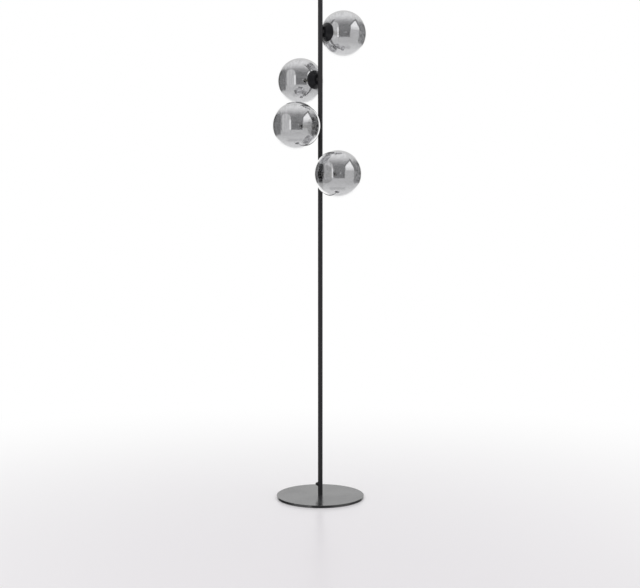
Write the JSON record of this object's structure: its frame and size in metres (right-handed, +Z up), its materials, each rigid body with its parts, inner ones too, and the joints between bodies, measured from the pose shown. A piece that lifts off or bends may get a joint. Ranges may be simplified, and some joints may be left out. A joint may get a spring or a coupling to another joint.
{
  "type": "globe floor lamp",
  "caption": "Slim black pole on a round plate, with smoked mirror-glass globes in small black cups at stepped heights and turned evenly round it.",
  "frame": {"origin": "on the pole's axis, at the floor, in the middle of the foam pad's underside", "axes": "+Z up the pole; +X to the right and +Y away, as seen from the front"},
  "size_m": [0.3193, 0.3274, 1.7],
  "materials": {
    "base_steel": "satin black powder coat",
    "black_steel": "satin black powder coat",
    "black_cup": "satin black, spun",
    "zinc_steel": "zinc plated",
    "turned_aluminium": "turned",
    "holder_ceramic": "unglazed",
    "contact_metal": "nickel plated",
    "lead_sheath": "silicone sheath",
    "seal_rubber": "matt",
    "foam": "closed-cell foam, matt",
    "black_plastic": "moulded",
    "smoked_glass": "smoked, mirror coated, polished",
    "bulb_body": "moulded white",
    "bulb_cover": "clear"
  },
  "bodies": {
    "root": {"base_pad": "foam", "base_plate": "base_steel", "foot_screw": "zinc_steel", "pole_foot_plug": "zinc_steel", "pole_lower": "black_steel", "pole_coupler": "zinc_steel", "pole_upper": "black_steel", "pole_cap": "black_steel", "cord_gland": "black_plastic", "lead_splice": "black_plastic", "arm_locknuts": "zinc_steel", "holder_contacts": "contact_metal", "arm_tube_1": "black_steel", "cup_1": "black_cup", "gallery_1": "turned_aluminium", "lampholder_1": "holder_ceramic", "wiring_lead_1": "lead_sheath", "arm_tube_2": "black_steel", "cup_2": "black_cup", "gallery_2": "turned_aluminium", "lampholder_2": "holder_ceramic", "wiring_lead_2": "lead_sheath", "arm_tube_3": "black_steel", "cup_3": "black_cup", "gallery_3": "turned_aluminium", "lampholder_3": "holder_ceramic", "wiring_lead_3": "lead_sheath", "arm_tube_4": "black_steel", "cup_4": "black_cup", "gallery_4": "turned_aluminium", "lampholder_4": "holder_ceramic", "wiring_lead_4": "lead_sheath"},
    "seal_1": {"seal_1": "seal_rubber"},
    "globe_1": {"globe_1": "smoked_glass", "collar_1": "turned_aluminium"},
    "bulb_1": {"bulb_base_1": "bulb_body", "bulb_glass_1": "bulb_cover", "bulb_pins_1": "contact_metal"},
    "seal_2": {"seal_2": "seal_rubber"},
    "globe_2": {"globe_2": "smoked_glass", "collar_2": "turned_aluminium"},
    "bulb_2": {"bulb_base_2": "bulb_body", "bulb_glass_2": "bulb_cover", "bulb_pins_2": "contact_metal"},
    "seal_3": {"seal_3": "seal_rubber"},
    "globe_3": {"globe_3": "smoked_glass", "collar_3": "turned_aluminium"},
    "bulb_3": {"bulb_base_3": "bulb_body", "bulb_glass_3": "bulb_cover", "bulb_pins_3": "contact_metal"},
    "seal_4": {"seal_4": "seal_rubber"},
    "globe_4": {"globe_4": "smoked_glass", "collar_4": "turned_aluminium"},
    "bulb_4": {"bulb_base_4": "bulb_body", "bulb_glass_4": "bulb_cover", "bulb_pins_4": "contact_metal"}
  },
  "joints": [
    {"name": "globe_1_travel", "type": "slide", "parent": "root", "child": "seal_1", "axis": [0.7518, 0.6593, 0], "range_m": [0, 0.076]},
    {"name": "globe_1_unscrew", "type": "hinge", "parent": "seal_1", "child": "globe_1", "pos_m": [0.07897, 0.06925, 1.59], "axis": [0.7518, 0.6593, 0], "range_deg": [0, 6840]},
    {"name": "bulb_1_pull", "type": "slide", "parent": "root", "child": "bulb_1", "axis": [0.7518, 0.6593, 0], "range_m": [0, 0.014]},
    {"name": "globe_2_travel", "type": "slide", "parent": "root", "child": "seal_2", "axis": [-0.6428, 0.766, 0], "range_m": [0, 0.076]},
    {"name": "globe_2_unscrew", "type": "hinge", "parent": "seal_2", "child": "globe_2", "pos_m": [-0.06751, 0.08046, 1.43], "axis": [-0.6428, 0.766, 0], "range_deg": [0, 6840]},
    {"name": "bulb_2_pull", "type": "slide", "parent": "root", "child": "bulb_2", "axis": [-0.6428, 0.766, 0], "range_m": [0, 0.014]},
    {"name": "globe_3_travel", "type": "slide", "parent": "root", "child": "seal_3", "axis": [-0.766, -0.6428, 0], "range_m": [0, 0.076]},
    {"name": "globe_3_unscrew", "type": "hinge", "parent": "seal_3", "child": "globe_3", "pos_m": [-0.08046, -0.06751, 1.27], "axis": [-0.766, -0.6428, 0], "range_deg": [0, 6840]},
    {"name": "bulb_3_pull", "type": "slide", "parent": "root", "child": "bulb_3", "axis": [-0.766, -0.6428, 0], "range_m": [0, 0.014]},
    {"name": "globe_4_travel", "type": "slide", "parent": "root", "child": "seal_4", "axis": [0.5592, -0.829, 0], "range_m": [0, 0.076]},
    {"name": "globe_4_unscrew", "type": "hinge", "parent": "seal_4", "child": "globe_4", "pos_m": [0.05873, -0.08708, 1.11], "axis": [0.5592, -0.829, 0], "range_deg": [0, 6840]},
    {"name": "bulb_4_pull", "type": "slide", "parent": "root", "child": "bulb_4", "axis": [0.5592, -0.829, 0], "range_m": [0, 0.014]}
  ],
  "couplings": [
    {"joint": "globe_1_travel", "follows": "globe_1_unscrew", "m_per_rad": 0.00063662},
    {"joint": "globe_2_travel", "follows": "globe_2_unscrew", "m_per_rad": 0.00063662},
    {"joint": "globe_3_travel", "follows": "globe_3_unscrew", "m_per_rad": 0.00063662},
    {"joint": "globe_4_travel", "follows": "globe_4_unscrew", "m_per_rad": 0.00063662}
  ]
}
